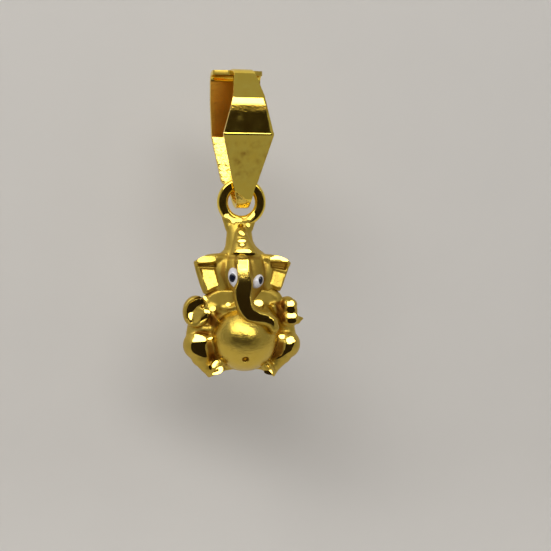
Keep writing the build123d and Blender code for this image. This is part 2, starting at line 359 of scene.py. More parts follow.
def rounded(corners, closed=True, steps=6):
    """A path through corners (a, b, radius), with an arc of `steps` runs at each."""
    path = []
    for i, (a, b, radius) in enumerate(corners):
        corner = Vector((a, b))
        if not closed and i in (0, len(corners) - 1):
            path.append(corner)
            continue
        to_last = (Vector(corners[i - 1][:2]) - corner).normalized()
        to_next = (Vector(corners[(i + 1) % len(corners)][:2]) - corner).normalized()
        half = to_last.angle(to_next) / 2
        centre = corner + (to_last + to_next).normalized() * radius / sin(half)
        start = corner + to_last * radius / tan(half) - centre
        end = corner + to_next * radius / tan(half) - centre
        sweep = pi - 2 * half
        if start.x * end.y - start.y * end.x < 0:
            sweep = -sweep
        first = atan2(start.y, start.x)
        for step in range(steps + 1):
            angle = first + sweep * step / steps
            path.append(centre + Vector((cos(angle), sin(angle))) * radius)
    return path


def band(path, across, closed, columns):
    """A grid laid along a path in the Y-Z plane. across(y, z) gives its left and right edge."""
    rows = len(path) + (1 if closed else 0)
    clay = bmesh.new()
    bmesh.ops.create_grid(clay, x_segments=columns, y_segments=rows - 1, size=0.5)
    for v in clay.verts:
        share = v.co.x + 0.5
        here = path[round((v.co.y + 0.5) * (rows - 1)) % len(path)]
        left, right = across(here.x, here.y)
        v.co = (left + (right - left) * share, here.x, here.y)
    bmesh.ops.remove_doubles(clay, verts=clay.verts, dist=0.0005)
    return clay


print("helpers ready")

# %% [markdown]
# ## The bail
#
# The bail is one strip of sheet gold. It goes up from the bottom fold along the back, where it
# is wide, over the flat top, where it narrows to a neck, and down the front over a bright brow
# and a sharp crease to the fold again. The brow is a facet of its own, about eight degrees up,
# so that it mirrors the lamp, and the crease has a thin lip. A strip is a grid laid along that
# side profile: its width is read from a short table, and `solidify` gives it the sheet's
# thickness. A flat blank bent by a modifier would do too, but its widths would be harder to
# measure. The rims get a small bevel, because a polished edge always catches a line of light.
# Near the bottom the strip is narrow enough to let the ring swing past it.

# %% The bail's strip
strip = 0.36
half_inside = 1.84
crease_drop = 4.75
crease_lip = 0.014
bail_turn = 8.5
front_left = [(-1, 0.73), (0, 0.73), (0.5, 0.85), (1.6, 1.04), (4.75, 1.9), (8.6, 0.9), (9.3, 0.68),
              (10.1, 0.46), (10.6, 0.3)]
front_right = [(-1, 0.75), (0, 0.75), (0.5, 0.95), (1.6, 1.24), (4.75, 2.03), (8.3, 0.98), (8.8, 0.77),
               (9.3, 0.67), (10.1, 0.46), (10.6, 0.3)]
back_edges = [(-1, 2.0), (2.1, 2.02), (4.75, 1.92), (8.2, 1.36), (8.6, 1.0), (8.9, 0.84), (9.3, 0.68),
              (10.6, 0.3)]
shoulder_edges = [(0.55, 0.73), (0.75, 0.78), (0.86, 0.95), (0.92, 1.4), (0.96, 1.8), (1.08, 1.97),
                  (1.25, 2.0)]


def read(table, at):
    """The value of a short table of (place, value) between its places."""
    return float(np.interp(at, [p for p, _ in table], [v for _, v in table]))


def bail_edges(y, z):
    """The strip's left and right edge at a place of the side profile."""
    if z > -0.02 and y > -0.55:
        return -read(shoulder_edges, y), read(shoulder_edges, y)
    if y < 0:
        return -read(front_left, -z), read(front_right, -z)
    return -read(back_edges, -z), read(back_edges, -z)


def long_runs(path, longest):
    """The path with its long runs divided."""
    divided = []
    for here, after in zip(path, path[1:] + path[:1]):
        parts = max(1, round((after - here).length / longest))
        divided += [here.lerp(after, part / parts) for part in range(parts)]
    return divided


bail_profile = rounded([
    (half_inside, 0, 0.45),
    (half_inside, -crease_drop, 0.16),
    (0, -12.018, 0.65),
    (-half_inside - crease_lip, -crease_drop, 0.03),
    (-half_inside, -crease_drop + 0.04, 0.01),
    (-half_inside, -2.5, 1.04),
    (-1.775, -2.05, 0.12),
    (-0.56, 0, 0.85),
])
tip_at = (0.1, -0.6, -9.68)
tip_slant = Vector((0.7, 0, 1)).normalized()
tip_step = 0.12
bail_clay = band(long_runs(bail_profile, 0.07), bail_edges, True, 12)
bmesh.ops.recalc_face_normals(bail_clay, faces=bail_clay.faces)
print("bail profile points:", len(bail_profile))

# %% [markdown]
# ## Thickness, rims and tip
#
# The shoulders, where the wide back narrows to the neck, were left as the saw made them, so
# they get the satin gold, and the inside gets the hammered one. The tip is cut aslant, and the
# leaf of sheet that shows below the cut lies a step further back and is a little narrower.

# %% Give the strip its thickness
rim_bevel = 0.05
leaf_share = 0.86
middle = Vector((0, 0, -5))
outward = sum((f.normal.dot(f.calc_center_median() - middle) for f in bail_clay.faces))
thickness = -strip if outward > 0 else strip
bmesh.ops.solidify(bail_clay, geom=bail_clay.faces[:], thickness=thickness)
bmesh.ops.recalc_face_normals(bail_clay, faces=bail_clay.faces)
rims = [e for e in bail_clay.edges if len(e.link_faces) == 2 and e.calc_face_angle(0) > radians(60)]
bmesh.ops.bevel(bail_clay, geom=rims, offset=rim_bevel, offset_type="OFFSET", segments=2,
                profile=0.5, affect="EDGES", material=-1, clamp_overlap=True)
everything = bail_clay.faces[:] + bail_clay.edges[:] + bail_clay.verts[:]
bmesh.ops.bisect_plane(bail_clay, geom=everything, plane_co=tip_at, plane_no=tip_slant)


def below_tip(v):
    """Whether a point of the front lies below the slanting cut."""
    under = (Vector(tip_at) - v.co).dot(tip_slant) > 0.02
    return under and v.co.y < -0.05 and v.normal.y < -0.3


leaf_points = [v for v in bail_clay.verts if below_tip(v)]
leaf = {f for v in leaf_points for f in v.link_faces}
for v in leaf_points:
    v.co.y += tip_step
    v.co.x *= leaf_share
print("points of the leaf below the tip:", len(leaf_points))

# %% Give the strip its finishes
polished, hammered, satin_rim = 0, 1, 2
for face in bail_clay.faces:
    at = face.calc_center_median()
    towards = at - middle
    towards.x = 0
    inner = face.normal.dot(towards) < -0.5 and towards.y > 0 and at.z < -0.4
    sawn = face.normal.y < -0.6 and 0.5 < at.y < 1.35
    face.material_index = polished
    if inner or face in leaf:
        face.material_index = hammered
    elif sawn:
        face.material_index = satin_rim
turned = Matrix.Rotation(radians(bail_turn), 3, "Z")
bmesh.ops.rotate(bail_clay, verts=bail_clay.verts, cent=(0, 0, 0), matrix=turned)
print("bail faces:", len(bail_clay.faces), "on the leaf:", len(leaf))

# %% Set the bail in the frame
bail_finishes = (strip_gold, inner_gold_shaded, figure_gold)
bail = piece("folded_bail", bail_clay, "bail", "bail_gold", ["bail"], *bail_finishes)
weights = bail.modifiers.new("flat_facets", "WEIGHTED_NORMAL")
weights.keep_sharp = True
weights.weight = 100

# %% [markdown]
# ## The soldered ring
#
# The ring is bent from round wire, and its front and back are filed flat, which is why its
# sides look like dark facets with bright borders. A circle of wire, flattened on two sides, is
# spun through a full turn. The spin merges its ends, so that the tube is closed.

# %% The ring
ring_z = -9.905
ring_radius = 1.475
wire = 0.435
ring_flat = 0.34

ring_clay = bmesh.new()
wire_place = Matrix.Translation((ring_radius, 0, 0))
bmesh.ops.create_circle(ring_clay, segments=32, radius=wire, matrix=wire_place)
for v in ring_clay.verts:
    v.co.y = max(-ring_flat, min(ring_flat, v.co.y))
bmesh.ops.spin(ring_clay, geom=ring_clay.verts[:] + ring_clay.edges[:], cent=(0, 0, 0),
               axis=(0, 1, 0), angle=2 * pi, steps=96, use_merge=True)
bmesh.ops.remove_doubles(ring_clay, verts=ring_clay.verts, dist=0.0005)
bmesh.ops.recalc_face_normals(ring_clay, faces=ring_clay.faces)
bmesh.ops.translate(ring_clay, vec=(0, 0, ring_z), verts=ring_clay.verts)
print("ring faces:", len(ring_clay.faces), "open edges:", sum(e.is_boundary for e in ring_clay.edges))
ring = piece("soldered_ring", ring_clay, "charm", "charm_gold", [], strip_gold)
ring.modifiers.new("flat_facets", "WEIGHTED_NORMAL").weight = 100

# %% [markdown]
# ## Clay for the figure
#
# A modeller builds such a figure from simple lumps of wax and then melts them together. The
# same is done here: balls, tapered limbs, stacked ovals and plates overlap in one bmesh, and a
# voxel remesh makes one skin of them. Sculpting the skin by hand would give more life, but
# lumps with named places can be measured, mended and read.


# %% Lumps
def press(clay, lump):
    """Adds a lump to the clay."""
    mesh = bpy.data.meshes.new("lump")
    lump.to_mesh(mesh)
    lump.free()
    clay.from_mesh(mesh)
    bpy.data.meshes.remove(mesh)


def ball(clay, centre, radii, lean=0.0):
    """An egg. `lean` lowers its right-hand end, in degrees."""
    leaning = Matrix.Rotation(radians(lean), 4, "Y")
    place = Matrix.Translation(centre) @ leaning @ Matrix.Diagonal((*radii, 1))
    lump = bmesh.new()
    bmesh.ops.create_uvsphere(lump, u_segments=40, v_segments=24, radius=1, matrix=place)
    press(clay, lump)


def limb(clay, *stations):
    """A round limb through stations (x, y, z, radius)."""
    for x, y, z, radius in stations:
        ball(clay, (x, y, z), (radius, radius, radius))
    for start, end in zip(stations, stations[1:]):
        a, b = Vector(start[:3]), Vector(end[:3])
        turn = (b - a).to_track_quat("Z", "Y").to_matrix().to_4x4()
        place = Matrix.Translation((a + b) / 2) @ turn
        lump = bmesh.new()
        bmesh.ops.create_cone(lump, cap_ends=True, segments=40, radius1=start[3],
                              radius2=end[3], depth=(b - a).length, matrix=place)
        press(clay, lump)


def stack(clay, sections, place=None):
    """A closed form through ovals (height, x, y, half width, half depth)."""
    place = place or Matrix.Identity(4)
    lump = bmesh.new()
    last = None
    for i, (height, x, y, wide, deep) in enumerate(sections):
        here = place @ Matrix.Translation((x, y, height)) @ Matrix.Diagonal((wide, deep, 1, 1))
        ends = i in (0, len(sections) - 1)
        made = bmesh.ops.create_circle(lump, cap_ends=ends, segments=48, radius=1, matrix=here)
        edges = list({e for v in made["verts"] for e in v.link_edges})
        if last:
            bmesh.ops.bridge_loops(lump, edges=last + edges)
        last = edges
    bmesh.ops.recalc_face_normals(lump, faces=lump.faces)
    press(clay, lump)


def plate(clay, outline, front, back):
    """A flat plate: its outline is seen from the front, and front and back are its depths."""
    lump = bmesh.new()
    face = lump.faces.new([lump.verts.new((x, back, z)) for x, z in outline])
    made = bmesh.ops.extrude_face_region(lump, geom=[face], use_keep_orig=True)
    moved = [g for g in made["geom"] if isinstance(g, bmesh.types.BMVert)]
    bmesh.ops.translate(lump, vec=(0, front - back, 0), verts=moved)
    bmesh.ops.recalc_face_normals(lump, faces=lump.faces)
    press(clay, lump)


to_front = Matrix.Rotation(radians(90), 4, "X")
print("lumps ready")

# %% [markdown]
# ## One skin, and the cutter
#
# The voxel remesh keeps only the outside of the lumps, as melting wax together does, and a
# little smoothing softens the joints. The voxel is a twentieth of a millimetre, finer than the
# photo shows. The head and the body are melted apart, so that the crease where the trunk lies
# on the belly stays crisp, and each skin stays under 200,000 triangles.
#
# A diamond-cut facet is a flat, mirror-bright cut through the satin skin. Each is given by its
# outline as the viewer sees it, its depth and how far it looks up or to the right. A large cut
# moves the points of the skin to the cut's plane, straight back or forward, so the outline
# stays true, and paints them `polish`. Only skin that faces the front moves, or the backs of
# the ears would be dragged along.
#
# A small facet would come out ragged that way, because it is only a few of the skin's points
# across. So it is a chip: the ground is cut, and a thin plate with crisp borders is set on it.
# Last, the whole skin is softened a little, as a brush does, and its hollows are found by
# comparing it with a much softer copy. They get painted shade: their colour is darkened.


# %% Casting
def depth_inside(outline, x, z):
    """How far each point lies inside an outline, in mm. It is negative outside."""
    nearest = np.full(len(x), 1e9)
    odd = np.zeros(len(x), bool)
    for (x0, z0), (x1, z1) in zip(outline, outline[1:] + outline[:1]):
        run, rise = x1 - x0, z1 - z0
        share = np.clip(((x - x0) * run + (z - z0) * rise) / (run * run + rise * rise), 0, 1)
        nearest = np.minimum(nearest, np.hypot(x - x0 - share * run, z - z0 - share * rise))
        if rise:
            odd ^= ((z0 > z) != (z1 > z)) & (x < x0 + (z - z0) * run / rise)
    return np.where(odd, nearest, -nearest)


def oval(x, z, wide, high, lean=0.0, corners=40):
    """The outline of an oval. `lean` turns it clockwise, in degrees."""
    c, s = cos(radians(lean)), sin(radians(lean))
    around = [2 * pi * i / corners for i in range(corners)]
    return [(x + wide * cos(a) * c + high * sin(a) * s,
             z - wide * cos(a) * s + high * sin(a) * c) for a in around]


def eased(share):
    """0 to 1 with soft ends."""
    share = np.clip(share, 0, 1)
    return share * share * (3 - 2 * share)


def depth_of_plane(at, depth, up, right, x, z):
    """Where a tilted plane lies, in y. It is `depth` in front of the ring's plane at `at`."""
    return -depth + tan(radians(up)) * (z - at[1]) + tan(radians(right)) * (x - at[0])


class Casting:
    """A skin melted from lumps, with points that can be cut and polished."""

    facing = -0.15       # the y of a normal, below which a point faces the front
    behind = 0.1         # points behind this y stay where they are
    reach = 0.75         # how far behind a facet's plane skin is brought forward to it
    ground = 0.03        # how far the ground of a chip lies below its face
    chip_thickness = 0.16
    brush = 0.5          # share of the way to its neighbours that a point moves in a round
    wide_brush = 30      # rounds that make the much softer copy
    # the depth where painted shade in hollows starts, the depth over which it grows, and its strength
    hollow_from = 0.008
    hollow_range = 0.06
    hollow_shade = 0.6

    def __init__(self, name, clay, voxel=0.0503, rounds=9):
        self.name = name
        lumps = bpy.data.meshes.new("lumps")
        clay.to_mesh(lumps)
        clay.free()
        wax = bpy.data.objects.new("wax", lumps)
        bpy.context.scene.collection.objects.link(wax)
        melt = wax.modifiers.new("melt", "REMESH")
        melt.mode = "VOXEL"
        melt.voxel_size = voxel
        soften = wax.modifiers.new("soften", "SMOOTH")
        soften.factor = 0.5
        soften.iterations = rounds
        bpy.context.view_layer.update()
        melted = wax.evaluated_get(bpy.context.evaluated_depsgraph_get())
        self.mesh = bpy.data.meshes.new_from_object(melted)
        bpy.data.objects.remove(wax)
        points = np.empty(len(self.mesh.vertices) * 3)
        self.mesh.vertices.foreach_get("co", points)
        self.points = points.reshape(-1, 3)
        self.seen = self.normals()[:, 1] < self.facing
        self.polish = np.zeros(len(self.points))
        self.beaten = np.zeros(len(self.points))
        self.painted_shade = np.zeros(len(self.points))
        self.facets = bmesh.new()
        print(name, len(self.points), "points, from", self.points.min(0).round(2))

    def normals(self):
        """The mesh's own normals, one for each point."""
        normals = np.empty(len(self.mesh.vertices) * 3, np.float32)
        self.mesh.vertex_normals.foreach_get("vector", normals)
        return normals.reshape(-1, 3)

    def cut(self, outline, at=(0, 0), depth=1.0, up=0.0, right=0.0, profile=None,
            edge=0.07, shine=1.0, beaten=0.0):
        """Cuts a facet. `depth` is how far in front of the ring's plane it lies at the place
        `at`, or `profile` gives it as a table of (z, depth). Skin that lies a little behind
        the facet is brought forward to it, as if wax had been added."""
        x, y, z = self.points.T
        inside = depth_inside(outline, x, z)
        if profile:
            plane = -np.interp(-z, [-height for height, _ in profile], [d for _, d in profile])
        else:
            plane = depth_of_plane(at, depth, up, right, x, z)
        share = eased(inside / edge)
        moves = self.seen & (y < self.behind) & (y < plane + self.reach) & (share > 0)
        self.points[moves, 1] += (share * (plane - y))[moves]
        self.polish[moves] = np.maximum(self.polish[moves], share[moves] * shine)
        self.beaten[moves] = np.maximum(self.beaten[moves], share[moves] * beaten)
        return int(moves.sum())

    def chip(self, outline, at, depth, up=0.0, right=0.0):
        """Cuts the ground for a small facet, and sets the crisp facet itself on it."""
        self.cut(outline, at, depth - self.ground, up, right, edge=0.1, shine=0.3)
        for _ in range(2):
            sides = zip(outline, outline[1:] + outline[:1])
            outline = [(a * (1 - s) + c * s, b * (1 - s) + d * s)
                       for (a, b), (c, d) in sides for s in (0.25, 0.75)]
        lump = bmesh.new()
        face = lump.faces.new([lump.verts.new((x, 0, z)) for x, z in outline])
        made = bmesh.ops.extrude_face_region(lump, geom=[face], use_keep_orig=True)
        behind = [g for g in made["geom"] if isinstance(g, bmesh.types.BMVert)]
        bmesh.ops.translate(lump, vec=(0, self.chip_thickness, 0), verts=behind)
        bmesh.ops.recalc_face_normals(lump, faces=lump.faces)
        for v in lump.verts:
            rise = tan(radians(up)) * (v.co.z - at[1])
            v.co.y += rise + tan(radians(right)) * (v.co.x - at[0]) - depth
        for edge in lump.edges:
            edge.smooth = edge.calc_face_angle(0) < 0.5
        press(self.facets, lump)

    def paint_shade(self, outline, amount, edge=0.2):
        """Paints shade: darkens the colour inside an outline, as if shade fell there."""
        x, y, z = self.points.T
        share = eased(depth_inside(outline, x, z) / edge) * (self.seen & (y < 0))
        self.painted_shade = np.maximum(self.painted_shade, share * amount)

    def settle(self, rounds=2):
        """Softens every edge a little, as a last brushing does, and the marks with them. Then it paints
        shade: hollows, found against a much softer copy, get a darker colour.
        """
        edges = np.empty(len(self.mesh.edges) * 2, np.int32)
        self.mesh.edges.foreach_get("vertices", edges)
        here = np.concatenate((edges[0::2], edges[1::2]))
        there = np.concatenate((edges[1::2], edges[0::2]))
        count = np.bincount(here, minlength=len(self.points))
        for _ in range(rounds):
            for values in (*self.points.T, self.polish, self.beaten):
                around = np.bincount(here, values[there], len(self.points)) / count
                values += self.brush * (around - values)
        self.mesh.vertices.foreach_set("co", self.points.ravel())
        self.mesh.update()
        normals = self.normals()
        flatter = self.points.copy()
        for _ in range(self.wide_brush):
            for values in flatter.T:
                around = np.bincount(here, values[there], len(self.points)) / count
                values += self.brush * (around - values)
        # Painted shade: the deeper a point lies below the softer copy, the darker its colour.
        hollow = ((flatter - self.points) * normals).sum(axis=1)
        print(self.name, "hollows in mm:", np.percentile(hollow, [50, 90, 95, 99]).round(3))
        found = eased((hollow - self.hollow_from) / self.hollow_range)
        self.painted_shade = np.maximum(self.painted_shade, self.hollow_shade * found)

    def finish(self, replaced):
        """Sets the casting in the frame."""
        self.mesh.vertices.foreach_set("co", (self.points * MM).ravel())
        for mark in ("polish", "beaten", "painted_shade"):
            painted = self.mesh.attributes.new(mark, "FLOAT", "POINT")
            painted.data.foreach_set("value", getattr(self, mark))
        self.mesh.update()
        self.mesh.name = self.name
        set_in_frame(self.name, self.mesh, "charm", "charm_gold", replaced, figure_gold)
        piece(self.name + "_facets", self.facets, "charm", "charm_gold", [], facet_gold)


print("casting ready")

# %% [markdown]
# ## Crown and head
#
# The crown is a tall cone that flares to a brim, with a pointed relief and three beads on its
# front, and a polished rod at its foot. The head below leans a little to the right.

# %% Crown, rod and head
clay = bmesh.new()
stack(clay, [
    (-11.33, -0.1, 0, 0.5, 0.34),
    (-11.62, -0.17, 0, 0.98, 0.5),
    (-12.14, -0.18, 0, 0.97, 0.66),
    (-12.9, -0.16, 0, 1.06, 0.84),
    (-13.3, -0.08, 0, 1.19, 0.95),
    (-13.6, 0.02, 0, 1.4, 1.05),
    (-13.88, 0.06, 0, 1.75, 1.14),
    (-14.15, 0.12, -0.05, 1.75, 1.2),
])
stack(clay, [
    (-11.85, -0.12, -0.5, 0.2, 0.2),
    (-12.2, -0.08, -0.62, 0.43, 0.34),
    (-12.9, 0.0, -0.78, 0.64, 0.42),
    (-13.6, 0.12, -0.95, 0.95, 0.48),
    (-13.9, 0.14, -1.0, 1.05, 0.48),
])
limb(clay, (-1.28, 0, -11.08, 0.26), (-0.95, 0, -11.95, 0.32))
limb(clay, (0.92, 0, -11.15, 0.26), (0.6, 0, -11.95, 0.32))
limb(clay, (-1.2, -0.1, -10.98, 0.3), (-0.5, -0.12, -11.35, 0.34), (0.3, -0.12, -11.4, 0.34),
     (0.85, -0.1, -11.0, 0.3))
ball(clay, (-0.06, -0.9, -12.3), (0.34, 0.3, 0.26), 20)
ball(clay, (-0.08, -1.12, -12.88), (0.4, 0.26, 0.17))
ball(clay, (-0.06, -1.22, -13.19), (0.3, 0.24, 0.14))
limb(clay, (-0.6, -1.3, -13.76, 0.17), (0.1, -1.36, -13.76, 0.27), (0.85, -1.3, -13.84, 0.15))
stack(clay, [
    (-13.8, 0.16, -0.3, 1.3, 0.95),
    (-14.3, 0.18, -0.4, 1.64, 1.32),
    (-15.1, 0.18, -0.45, 1.76, 1.55),
    (-15.8, 0.27, -0.5, 1.7, 1.52),
    (-16.4, 0.34, -0.5, 1.5, 1.4),
    (-17.0, 0.26, -0.45, 1.16, 1.25),
    (-17.6, 0.15, -0.35, 0.9, 1.1),
])
limb(clay, (0.72, -1.5, -14.5, 0.24), (0.86, -1.5, -15.0, 0.2))
print("lumps so far:", len(clay.faces), "faces")

# %% [markdown]
# ## Ears
#
# Each ear is a fan with a thick, rolled upper edge and a planished panel below it. Plates carry
# the fans, and a limb along the top carries the roll.

# %% Ears
plate(clay, [(-1.2, -13.85), (-1.62, -13.84), (-2.03, -13.86), (-2.7, -13.94), (-3.78, -14.5),
             (-3.6, -15.27), (-3.3, -16.27), (-3.02, -16.98), (-2.82, -17.02), (-1.78, -16.5),
             (-1.2, -16.6)], -0.95, -0.25)
limb(clay, (-3.5, -0.95, -14.55, 0.22), (-2.8, -1.05, -14.3, 0.33), (-2.1, -1.0, -14.24, 0.34),
     (-1.6, -0.85, -14.2, 0.3))
ball(clay, (-1.55, -0.72, -15.4), (0.85, 0.56, 1.6))
plate(clay, [(1.2, -13.9), (1.98, -13.94), (2.81, -14.03), (3.8, -14.61), (3.6, -15.05), (3.3, -15.9),
             (3.14, -16.4), (2.9, -16.85), (1.89, -16.4), (1.3, -16.5)], -0.95, -0.25)
limb(clay, (3.52, -0.95, -14.66, 0.22), (2.8, -1.05, -14.4, 0.33), (2.1, -1.0, -14.3, 0.34),
     (1.7, -0.85, -14.25, 0.3))
ball(clay, (1.85, -0.72, -15.4), (0.75, 0.56, 1.5))

# %% [markdown]
# ## Trunk
#
# The trunk runs down the face, turns right over the belly and curls down at its tip. It is a
# chain of limbs whose front is later cut and polished.

# %% Trunk
limb(clay, (-0.12, -1.8, -14.45, 0.56), (0.0, -1.95, -15.0, 0.56), (0.06, -2.04, -15.6, 0.6),
     (0.03, -2.07, -16.2, 0.68), (-0.13, -2.09, -16.7, 0.73), (-0.1, -2.12, -17.2, 0.71),
     (0.05, -2.17, -17.85, 0.7), (0.42, -2.21, -18.45, 0.69), (1.0, -2.2, -18.72, 0.64),
     (1.6, -2.24, -18.82, 0.6), (2.05, -2.34, -19.08, 0.5), (2.27, -2.4, -19.5, 0.4),
     (2.3, -2.1, -19.8, 0.28))
head = Casting("crowned_head", clay)

# %% [markdown]
# ## Cuts on the head
#
# The trunk's face is one long cut. Its top leans back and mirrors the lamp, and below the eyes
# it is nearly upright and mirrors the dark room. Between the eyes it is a little worn. The top
# of the crown, its relief and its beads carry small chips, and the rod at its foot has two, one
# up and one nearly level. The ears' panels look up and are planished, the right one more. The
# face and its cheeks, the place under the rod and the roots of the ears get painted shade: their
# colour is darkened where shade falls.

# %% Cut the head
trunk_face = [(-0.54, -14.2), (-0.54, -14.6), (-0.57, -15.4), (-0.5, -15.9), (-0.62, -16.28),
              (-0.72, -16.6), (-0.68, -17.0), (-0.64, -17.4), (-0.57, -17.65), (-0.49, -17.87),
              (-0.38, -18.17), (-0.19, -18.54), (0.11, -18.83), (0.4, -18.99), (1.25, -19.06),
              (1.72, -19.14), (2.0, -19.25), (2.25, -19.48), (2.26, -19.1), (2.18, -18.82), (1.88, -18.6),
              (1.2, -18.38), (0.85, -18.2), (0.65, -18.03), (0.53, -17.8), (0.47, -17.45), (0.47, -17.1),
              (0.53, -16.8), (0.6, -16.5), (0.6, -16.2), (0.55, -15.95), (0.43, -15.5), (0.37, -15.3),
              (0.37, -14.6), (0.35, -14.2)]
trunk_profile = [(-14.1, 1.98), (-14.7, 2.2), (-15.05, 2.327), (-15.2, 2.372), (-15.4, 2.41),
                 (-15.7, 2.447), (-16.1, 2.485), (-16.6, 2.53), (-17.2, 2.59), (-17.85, 2.665),
                 (-18.5, 2.735), (-19.2, 2.8), (-19.7, 2.83)]
trunk_cut = head.cut(trunk_face, profile=trunk_profile, edge=0.06)
worn_low, worn_high = -16.2, -15.0
heights = head.points[:, 2]
worn = eased((heights - worn_low) / 0.7) * eased((worn_high - heights) / 0.2) * head.polish
head.polish -= 0.3 * worn
head.beaten += 0.25 * worn
from_pit = np.hypot((head.points[:, 0] + 0.08) / 0.19, (head.points[:, 2] + 11.76) / 0.16)
pit = eased((1 - from_pit) / 0.4)
head.points[:, 1] += 0.35 * pit * (head.points[:, 1] < 0)
print("points on the trunk's face:", trunk_cut)

# %% Chips on the crown
crown_chips = [
    ((-0.7, -11.2), 0.47, 19, 0, [
        (-1.41, -10.95), (-1.17, -10.73), (-1.02, -10.78), (-1.0, -11.0), (-0.73, -11.14),
        (-0.49, -11.19), (-0.2, -11.14), (0, -11.19), (0.02, -11.41), (-0.2, -11.45), (-0.49, -11.41),
        (-0.63, -11.55), (-0.8, -11.53), (-0.88, -11.29), (-1.12, -11.14), (-1.36, -11.07),
    ]),
    ((0.6, -11.1), 0.47, 19, 0, [
        (0.36, -11.14), (0.58, -11.09), (0.82, -10.71), (1.02, -10.71), (1.02, -10.95), (0.77, -11.14),
        (0.63, -11.31), (0.43, -11.26),
    ]),
    ((0.45, -11.7), 0.62, 19, 0, [
        (0.3, -11.6), (0.46, -11.5), (0.63, -11.65), (0.55, -11.86), (0.36, -11.79),
    ]),
    ((-0.1, -12.3), 1.2, 19, 0, [
        (-0.36, -12.15), (-0.1, -12.08), (0.18, -12.38), (0.03, -12.5), (-0.26, -12.36),
    ]),
    ((-0.1, -12.9), 1.39, 17, 0, [
        (-0.42, -12.84), (-0.1, -12.76), (0.23, -12.84), (0.16, -12.96), (-0.14, -13.0), (-0.38, -12.96),
    ]),
    ((-0.1, -13.2), 1.46, 19, 0, [
        (-0.26, -13.1), (0, -13.06), (0.12, -13.18), (-0.05, -13.28), (-0.24, -13.24),
    ]),
    ((0, -13.78), 1.65, 19, 0, [
        (-0.6, -13.56), (0.05, -13.48), (0.5, -13.54), (0.66, -13.76), (0.24, -13.79), (-0.55, -13.77),
    ]),
    ((0, -13.78), 1.65, -4, 0, [
        (-0.84, -13.78), (-0.39, -13.77), (0.24, -13.79), (0.68, -13.78), (1.0, -13.87), (0.73, -14.02),
        (0.24, -13.99), (-0.29, -13.91), (-0.7, -13.92),
    ]),
]
for at, depth, up, right, outline in crown_chips:
    head.chip(outline, at, depth, up, right)
print("crown chips:", len(crown_chips))

# %% Painted shade on the head
# Each entry is the amount, the soft edge and the outline of a place whose colour is darkened as painted
# shade.
head_painted_shade = [
    (0.3, 0.6, oval(0.2, -15.6, 1.75, 1.7)),
    (0.55, 0.4, oval(1.25, -16.6, 0.75, 1.0)),
    (0.5, 0.12, [
        (-1.4, -14.02), (1.5, -14.04), (1.35, -14.4), (-1.3, -14.36),
    ]),
    (0.7, 0.2, [
        (-1.67, -14.37), (-1.25, -14.49), (-1.25, -16.15), (-0.6, -16.86), (-0.9, -16.98),
        (-1.55, -16.15), (-1.91, -15.44),
    ]),
    (0.6, 0.2, [
        (1.43, -14.49), (1.91, -14.49), (1.91, -15.91), (1.55, -16.5), (1.25, -16.62), (1.5, -15.44),
    ]),
    (0.4, 0.15, [
        (-3.5, -14.6), (-2.0, -14.56), (-2.05, -14.93), (-3.4, -14.9),
    ]),
    (0.4, 0.15, [
        (2.1, -14.48), (3.5, -14.55), (3.4, -15.2), (2.2, -14.98),
    ]),
    (0.8, 0.1, [
        (-0.24, -13.3), (0.07, -13.3), (0.1, -13.42), (-0.1, -13.49), (-0.27, -13.42),
    ]),
]
for amount, edge, outline in head_painted_shade:
    head.paint_shade(outline, amount, edge)
print("head stains:", len(head_painted_shade))

# %% Panels and rolls of the ears
left_panel = [(-3.32, -14.95), (-2.12, -15.0), (-1.8, -16.36), (-2.8, -16.86)]
right_panel = [(2.36, -15.06), (3.36, -15.36), (3.07, -16.6), (2.62, -16.6), (2.02, -16.28)]
panel_cuts = [
    head.cut(left_panel, (-2.6, -15.9), 0.98, up=18, shine=0.6, beaten=0.5),
    head.cut(right_panel, (2.8, -15.8), 0.98, up=18, shine=0.4, beaten=1.3),
]
roll_chips = [
    ((-2.8, -14.4), 1.3, 21, 0, [
        (-3.4, -14.2), (-2.9, -14.0), (-2.35, -13.98), (-2.05, -14.06), (-2.05, -14.46), (-3.42, -14.54),
        (-3.54, -14.4),
    ]),
    ((2.8, -14.4), 1.3, 18, 0, [
        (2.05, -14.12), (2.5, -14.03), (2.95, -14.1), (3.5, -14.36), (3.5, -14.5), (2.6, -14.4),
        (2.05, -14.38),
    ]),
]
for at, depth, up, right, outline in roll_chips:
    head.chip(outline, at, depth, up, right)
print("roll chips:", len(roll_chips))
under_left = [(-3.5, -14.6), (-2.0, -14.58), (-2.05, -14.93), (-3.4, -14.9)]
under_right = [(2.1, -14.5), (3.5, -14.55), (3.4, -15.2), (2.2, -14.98)]
under_rolls = [
    head.cut(under_left, (-2.8, -14.6), 0.78, up=-25, edge=0.12, shine=0.2),
    head.cut(under_right, (2.8, -14.6), 0.78, up=-25, edge=0.12, shine=0.2),
]
print("points cut on the ears:", panel_cuts, under_rolls)
head.settle()
head.finish([])

# %% [markdown]
# ## Body, arms and hands
#
# The belly is a ball. The torso behind it is a stack of ovals with a flat back. The left hand
# shows its palm, a thick disc, and the right hand holds its fingers rolled towards the viewer.

